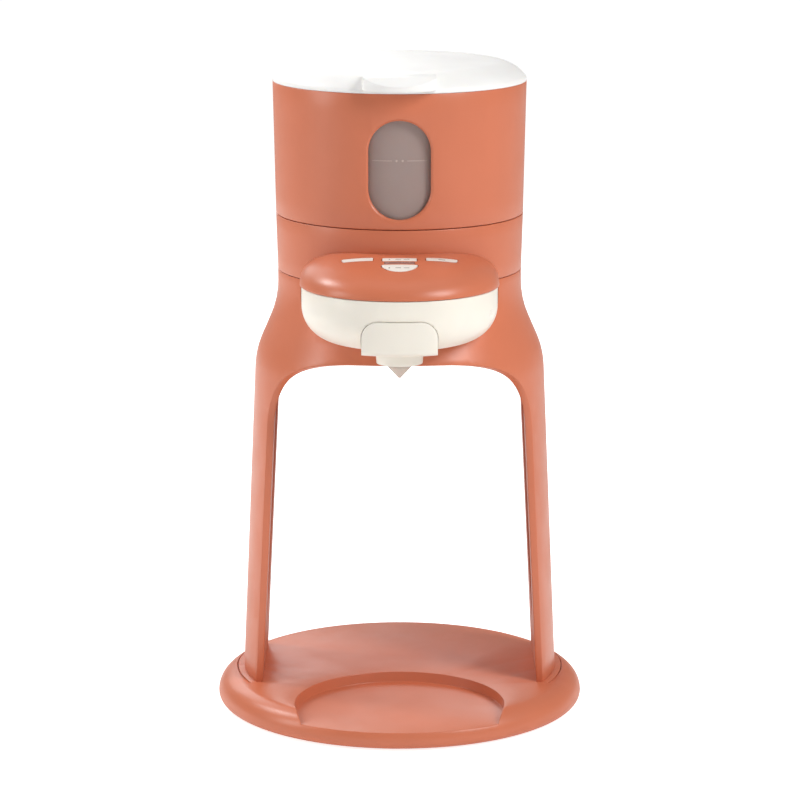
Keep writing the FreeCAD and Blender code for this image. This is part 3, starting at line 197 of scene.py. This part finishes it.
def silicone(name, colour, roughness=0.5):
    """Soft silicone or rubber: dull, slightly cloudy, with a dusty fine grain."""
    tree = Tree(name)
    normal, _ = tree.soft_edges(0.5 * MM)
    cloud = tree.noise(120, 4, 0.6)
    tone = tree.mix(tree.spread(cloud, 0.0, 1.0, 0.3, 0.7), shade(colour, 0.92), shade(colour, 1.08))
    dust = tree.noise(1800, 3, 0.7)
    relief = tree.bump(dust, 0.2, 0.00007, normal)
    gloss = tree.spread(cloud, roughness - 0.06, roughness + 0.1, 0.3, 0.7)
    return tree.finish(Base_Color=tone, Roughness=gloss, Normal=relief, Subsurface_Weight=0.1,
                       Subsurface_Scale=0.002)


def metal(name, colour, roughness, along, scratch=0.25):
    """Brushed or cast metal; along stretches the brushing along one axis."""
    tree = Tree(name)
    normal, near = tree.soft_edges(0.3 * MM)
    brushing = tree.noise(1, 4, 0.6, tree.stretched(*along))
    tone = tree.mix(tree.spread(brushing, 0.0, 1.0, 0.3, 0.7), shade(colour, 0.85), shade(colour, 1.12))
    tone = tree.mix(tree.math("MULTIPLY", near, 0.5), tone, shade(colour, 1.3))
    relief = tree.bump(brushing, scratch, 0.00005, normal)
    gloss = tree.spread(tree.noise(200, 3, 0.5), roughness - 0.08, roughness + 0.12, 0.3, 0.7)
    return tree.finish(Base_Color=tone, Metallic=1.0, Roughness=gloss, Normal=relief)


def winding(name):
    """Lacquered copper turns packed side by side."""
    tree = Tree(name)
    turns = tree.add("ShaderNodeTexWave", wave_type="BANDS", bands_direction="X")
    tree.feed(tree.place, turns.inputs["Vector"])
    turns.inputs["Scale"].default_value = 620
    turns.inputs["Distortion"].default_value = 1.2
    tone = tree.mix(turns.outputs["Fac"], linear(92, 42, 22), linear(205, 118, 66))
    relief = tree.bump(turns.outputs["Fac"], 0.6, 0.0002)
    gloss = tree.spread(tree.noise(300), 0.25, 0.45, 0.3, 0.7)
    return tree.finish(Base_Color=tone, Metallic=0.7, Roughness=gloss, Normal=relief)


def circuit_board(name):
    """Green solder mask with lighter copper runs and tinned pads."""
    tree = Tree(name)
    runs = tree.add("ShaderNodeTexBrick")
    tree.feed(tree.place, runs.inputs["Vector"])
    runs.inputs["Scale"].default_value = 150
    runs.inputs["Mortar Size"].default_value = 0.018
    runs.inputs["Color1"].default_value = linear(18, 84, 52)
    runs.inputs["Color2"].default_value = linear(22, 96, 58)
    runs.inputs["Mortar"].default_value = linear(64, 140, 84)
    pads = tree.add("ShaderNodeTexVoronoi", feature="F1")
    tree.feed(tree.place, pads.inputs["Vector"])
    pads.inputs["Scale"].default_value = 260
    pad = tree.spread(pads.outputs["Distance"], 1.0, 0.0, 0.14, 0.17)
    tone = tree.mix(pad, runs.outputs["Color"], linear(214, 206, 188))
    relief = tree.bump(runs.outputs["Fac"], 0.3, 0.00005)
    tinned = tree.math("MULTIPLY", pad, 0.8)
    return tree.finish(Base_Color=tone, Metallic=tinned, Roughness=0.32, Normal=relief)


def lamp_window(name, colour):
    """Dark mauve plastic for the strip between the centre and front buttons, painted shade of the groove it
    lies in: cloudy inside, glossy outside.
    """
    tree = Tree(name)
    normal, _ = tree.soft_edges(0.2 * MM)
    cloud = tree.noise(260, 4, 0.6)
    tone = tree.mix(tree.spread(cloud, 0.0, 1.0, 0.3, 0.7), shade(colour, 0.85), shade(colour, 1.12))
    relief = tree.bump(tree.noise(1500, 2, 0.5), 0.08, 0.00004, normal)
    gloss = tree.spread(cloud, 0.18, 0.3, 0.3, 0.7)
    return tree.finish(Base_Color=tone, Roughness=gloss, Normal=relief, Subsurface_Weight=0.15,
                       Subsurface_Scale=0.001)


def ink(name, colour):
    """Pad-printed marking with slightly uneven cover."""
    tree = Tree(name)
    cover = tree.noise(2400, 3, 0.7)
    tone = tree.mix(tree.spread(cover, 0.0, 0.4, 0.4, 0.7), colour, shade(colour, 1.5))
    relief = tree.bump(cover, 0.15, 0.00003)
    gloss = tree.spread(cover, 0.42, 0.6, 0.3, 0.7)
    return tree.finish(Base_Color=tone, Roughness=gloss, Normal=relief)


TERRACOTTA = linear(207, 117, 84)
MATERIALS = {
    "terracotta": moulded("terracotta", TERRACOTTA, 0.31),
    # Terracotta darkened to 0.86 for the leg liners and the body floor: painted shade on the inner faces of
    # the legs and on the body floor, with a rougher, coarser grain.
    "terracotta_liner": moulded("terracotta_liner", shade(TERRACOTTA, 0.86), 0.46, grain=0.28),
    "warm_white": milky_white("warm_white", linear(244, 238, 226), 0.3),
    "lid_white": milky_white("lid_white", linear(246, 245, 243), 0.34),
    "button_white": moulded("button_white", linear(238, 234, 226), 0.38, edge=0.35, grain=0.1, wear=0.1),
    "smoke": smoked("smoke", linear(166, 146, 140)),
    "beige_silicone": silicone("beige_silicone", linear(206, 194, 182)),
    "clear_silicone": silicone("clear_silicone", linear(222, 222, 216), 0.35),
    "black_rubber": silicone("black_rubber", linear(38, 37, 37), 0.62),
    "grey_plastic": moulded("grey_plastic", linear(120, 120, 122), 0.5, grain=0.3),
    "natural_plastic": moulded("natural_plastic", linear(226, 220, 204), 0.42),
    "steel": metal("steel", linear(176, 177, 180), 0.3, (180, 180, 2600)),
    "cast_aluminium": metal("cast_aluminium", linear(182, 184, 187), 0.5, (900, 900, 900), 0.6),
    "copper_winding": winding("copper_winding"),
    "circuit_board": circuit_board("circuit_board"),
    "black_plastic": moulded("black_plastic", linear(34, 34, 36), 0.45, grain=0.25),
    "wire_red": silicone("wire_red", linear(150, 40, 34), 0.4),
    # The strip between the centre and front buttons is dark as painted shade of the groove it lies in.
    "lamp_window": lamp_window("lamp_window", linear(150, 122, 116)),
    "ink": ink("ink", linear(128, 116, 108)),
    "level_ink": ink("level_ink", linear(186, 168, 161)),
}

FINISHES = {
    "terracotta": ["base_shell", "leg_frame", "pump_housing", "tank_housing", "control_panel"],
    # The leg liners and the body floor take the darkened terracotta as painted shade.
    "terracotta_liner": ["left_leg_liner", "right_leg_liner", "body_floor"],
    "warm_white": ["powder_drawer", "spout_block"],
    "lid_white": ["lid", "lid_collar"],
    "button_white": ["button_left", "button_centre", "button_right", "button_front"],
    "smoke": ["water_tank"],
    "beige_silicone": ["duckbill_nozzle"],
    "clear_silicone": ["lid_seal", "spout_seal", "tank_valve_seal", "suction_hose", "pump_hose",
                       "heater_hose", "outlet_hose"],
    "black_rubber": ["rubber_feet", "pump_mounts", "mains_cord", "cord_grommet"],
    "grey_plastic": ["base_plate", "chassis", "drawer_guide", "tank_socket", "flow_meter_rotor", "pump_body"],
    "natural_plastic": ["tank_valve", "tank_filter", "spray_plate", "flow_meter_body", "flow_meter_cover"],
    "steel": ["base_screws", "leg_screws", "floor_screws", "chassis_screws", "panel_screws",
              "lid_hinge_pin", "tank_valve_spring", "pump_piston", "pump_bracket", "ballast_plate",
              "thermostats"],
    "cast_aluminium": ["heater_block"],
    "copper_winding": ["pump_coil"],
    "circuit_board": ["power_board", "button_board"],
    "black_plastic": ["tact_switches", "board_components"],
    "wire_red": ["wiring"],
    "lamp_window": ["indicator_strip"],
}


def paint(piece, name):
    piece.data.materials.clear()
    piece.data.materials.append(MATERIALS[name])


for finish_name, names in FINISHES.items():
    for node_name in names:
        paint(nodes[node_name], finish_name)


# ---------------------------------------------------------------- rounded moulded edges

EDGE_RADIUS = {
    "lid": 0.45, "tank_housing": 0.55, "pump_housing": 0.3, "leg_frame": 0.5, "base_shell": 0.5,
    "control_panel": 0.3, "powder_drawer": 0.35, "spout_block": 0.35, "water_tank": 0.3,
    "button_left": 0.2, "button_centre": 0.2, "button_right": 0.2, "button_front": 0.2,
}


def round_edges(piece, radius):
    weld = piece.modifiers.new("weld", "WELD")
    weld.merge_threshold = 0.002 * MM
    bevel = piece.modifiers.new("bevel", "BEVEL")
    bevel.width = radius * MM
    bevel.segments = 2
    bevel.limit_method = "ANGLE"
    bevel.angle_limit = math.radians(38)
    bevel.use_clamp_overlap = True


for node_name, node in nodes.items():
    for polygon in node.data.polygons:
        polygon.use_smooth = True
    if node_name in EDGE_RADIUS:
        round_edges(node, EDGE_RADIUS[node_name])


# ---------------------------------------------------------------- printed marks

MARK_PROUD = 0.04 * MM
MARK_SUNK = 0.12 * MM
MARK_COLUMNS = 18
LEAST_REACH = 0.15
LOOK_FROM = 0.5

# Marks on the buttons: how far each lies from the button's middle, and its half size.
BUTTON_DOT_AT = -4.6 * MM
BUTTON_DOT_RADIUS = 0.38 * MM
BUTTON_DASHES_AT = (-0.6 * MM, 3.2 * MM)
BUTTON_DASH = (1.3 * MM, 0.2 * MM)
SINGLE_DASH = (1.6 * MM, 0.22 * MM)

# Fill line on the tank: height above the housing's foot, and two lines and two dots across.
FILL_LINE_RISE = 36.5 * MM
FILL_LINE_AT = 8 * MM
FILL_LINE = (4.6 * MM, 0.16 * MM)
FILL_DOT_AT = 1.4 * MM
FILL_DOT_RADIUS = 0.5 * MM


class Surface:
    """One side of a CAD node, as seen by looking along a direction."""

    def __init__(self, node_name, look):
        mesh = nodes[node_name].data
        places = [vertex.co for vertex in mesh.vertices]
        faces = [polygon.vertices[:] for polygon in mesh.polygons]
        self.tree = BVHTree.FromPolygons(places, faces)
        self.look = Vector(look)

    def under(self, across, along):
        """Point of the node below a place in plan, or behind a place in the front view."""
        if self.look.z:
            origin = Vector((across, along, 0)) - self.look * LOOK_FROM
        else:
            origin = Vector((across, 0, along)) - self.look * LOOK_FROM
        place = self.tree.ray_cast(origin, self.look)[0]
        if place is None:
            raise ValueError("a printed mark misses its surface")
        return place


def mark_widths(half_length, half_height):
    """Where the columns of a round-ended dash are, and how far each reaches to either side."""
    straight = half_length - half_height
    columns = []
    for step in range(MARK_COLUMNS + 1):
        angle = math.pi * step / MARK_COLUMNS
        position = -half_length * math.cos(angle)
        beyond = max(abs(position) - straight, 0)
        reach = math.sqrt(max(half_height ** 2 - beyond ** 2, 0))
        columns.append((position, max(reach, half_height * LEAST_REACH)))
    return columns


def printed_mark(name, surface, centre, half_length, half_height, body, material):
    """A thin solid dash or dot that lies on a surface; equal halves make a dot."""
    centre_across, centre_along = centre
    places = []
    for position, reach in mark_widths(half_length, half_height):
        for side in (-reach, reach):
            base = surface.under(centre_across + position, centre_along + side)
            places.append(base - surface.look * MARK_PROUD)
            places.append(base + surface.look * MARK_SUNK)
    faces = []
    for column in range(MARK_COLUMNS):
        near = 4 * column
        far = near + 4
        faces.append((near, near + 2, far + 2, far))
        faces.append((near + 1, far + 1, far + 3, near + 3))
        faces.append((near, far, far + 1, near + 1))
        faces.append((near + 2, near + 3, far + 3, far + 2))
    last = 4 * MARK_COLUMNS
    faces.append((0, 1, 3, 2))
    faces.append((last, last + 2, last + 3, last + 1))
    mesh = bpy.data.meshes.new(name)
    mesh.from_pydata(places, [], faces)
    bm = bmesh.new()
    bm.from_mesh(mesh)
    bmesh.ops.recalc_face_normals(bm, faces=bm.faces)
    bm.to_mesh(mesh)
    bm.free()
    piece = bpy.data.objects.new(name, mesh)
    bpy.context.scene.collection.objects.link(piece)
    paint(piece, material)
    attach(piece, body)


def plan_middle(node_name):
    low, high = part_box(node_name)
    return (low.x + high.x) / 2, (low.y + high.y) / 2


def button_marks():
    """A dot and two dashes on the middle pair of buttons, and one dash on the right button."""
    down = (0, 0, -1)
    for button in ("button_centre", "button_front"):
        top = Surface(button, down)
        x, y = plan_middle(button)
        dot = BUTTON_DOT_RADIUS
        printed_mark(button + "_dot", top, (x + BUTTON_DOT_AT, y), dot, dot, button, "ink")
        for number, offset in enumerate(BUTTON_DASHES_AT):
            name = button + "_dash_" + str(number)
            printed_mark(name, top, (x + offset, y), *BUTTON_DASH, button, "ink")
    top = Surface("button_right", down)
    x, y = plan_middle("button_right")
    printed_mark("button_right_dash", top, (x, y), *SINGLE_DASH, "button_right", "ink")


def level_marks():
    """Fill line on the front of the tank, broken in the middle by two dots."""
    front = Surface("water_tank", (0, 1, 0))
    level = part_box("tank_housing")[0].z + FILL_LINE_RISE
    dot = FILL_DOT_RADIUS
    for word, side in (("left", -1), ("right", 1)):
        line_at = (side * FILL_LINE_AT, level)
        printed_mark("level_line_" + word, front, line_at, *FILL_LINE, "tank", "level_ink")
        dot_at = (side * FILL_DOT_AT, level)
        printed_mark("level_dot_" + word, front, dot_at, dot, dot, "tank", "level_ink")


button_marks()
level_marks()


# ---------------------------------------------------------------- floor, light and camera

def seen_directly(tree, seen, otherwise):
    """A value that differs between what the camera sees and what lights the object."""
    path = tree.add("ShaderNodeLightPath")
    return tree.spread(path.outputs["Is Camera Ray"], otherwise, seen)


def stage():
    bpy.ops.mesh.primitive_plane_add(size=14, location=(0, 3, 0))
    floor = bpy.context.object
    floor.name = "floor"
    tree = Tree("floor")
    tone = tree.mix(tree.noise(3, 2), linear(236, 236, 236), linear(240, 240, 240))
    glow = seen_directly(tree, 0.8, 0.25)
    floor.data.materials.append(tree.finish(
        Base_Color=tone, Roughness=0.9, Specular_IOR_Level=0.05,
        Emission_Color=(1, 1, 1, 1), Emission_Strength=glow))


def softbox(name, place, aim, size, power, colour=(1, 1, 1)):
    light = bpy.data.lights.new(name, "AREA")
    light.shape = "RECTANGLE"
    light.size, light.size_y = size
    light.energy = power
    light.color = colour
    lamp = bpy.data.objects.new(name, light)
    lamp.location = place
    lamp.rotation_euler = (Vector(aim) - Vector(place)).to_track_quat("-Z", "Y").to_euler()
    bpy.context.scene.collection.objects.link(lamp)


def studio():
    world = bpy.data.worlds.new("studio")
    bpy.context.scene.world = world
    world.use_nodes = True
    tree = world.node_tree
    backdrop = tree.nodes["Background"]
    backdrop.inputs["Color"].default_value = (1, 1, 1, 1)
    fill = tree.nodes.new("ShaderNodeBackground")
    fill.inputs["Color"].default_value = (1, 0.985, 0.97, 1)
    fill.inputs["Strength"].default_value = 0.28
    seen = tree.nodes.new("ShaderNodeLightPath")
    choose = tree.nodes.new("ShaderNodeMixShader")
    tree.links.new(seen.outputs["Is Camera Ray"], choose.inputs[0])
    tree.links.new(fill.outputs[0], choose.inputs[1])
    tree.links.new(backdrop.outputs[0], choose.inputs[2])
    tree.links.new(choose.outputs[0], tree.nodes["World Output"].inputs["Surface"])
    middle = (0, 0, 0.2)
    softbox("key", (0.85, -0.65, 0.95), middle, (0.35, 0.6), 10.5)
    softbox("fill", (-1.0, -0.32, 0.5), middle, (0.22, 0.5), 2.8)
    softbox("glint", (-0.85, 0.3, 0.95), middle, (0.24, 0.32), 5)
    softbox("back", (-0.4, 1.1, 0.8), middle, (0.9, 0.9), 5)
    softbox("top", (0.1, 0.1, 1.4), middle, (0.9, 0.9), 1.6)


CAMERA_PLACE = (0.0002, -1.503, 0.4727)
CAMERA_TILT_DOWN = 12.23
FOCAL_LENGTH = 145.26
SENSOR_WIDTH = 36


def camera():
    data = bpy.data.cameras.new("camera")
    data.lens = FOCAL_LENGTH
    data.sensor_width = SENSOR_WIDTH
    data.clip_start = 0.05
    data.clip_end = 60
    view = bpy.data.objects.new("camera", data)
    view.location = CAMERA_PLACE
    view.rotation_euler = (math.radians(90 - CAMERA_TILT_DOWN), 0, 0)
    bpy.context.scene.collection.objects.link(view)
    bpy.context.scene.camera = view
    bpy.context.scene.view_settings.view_transform = "Standard"


stage()
studio()
camera()
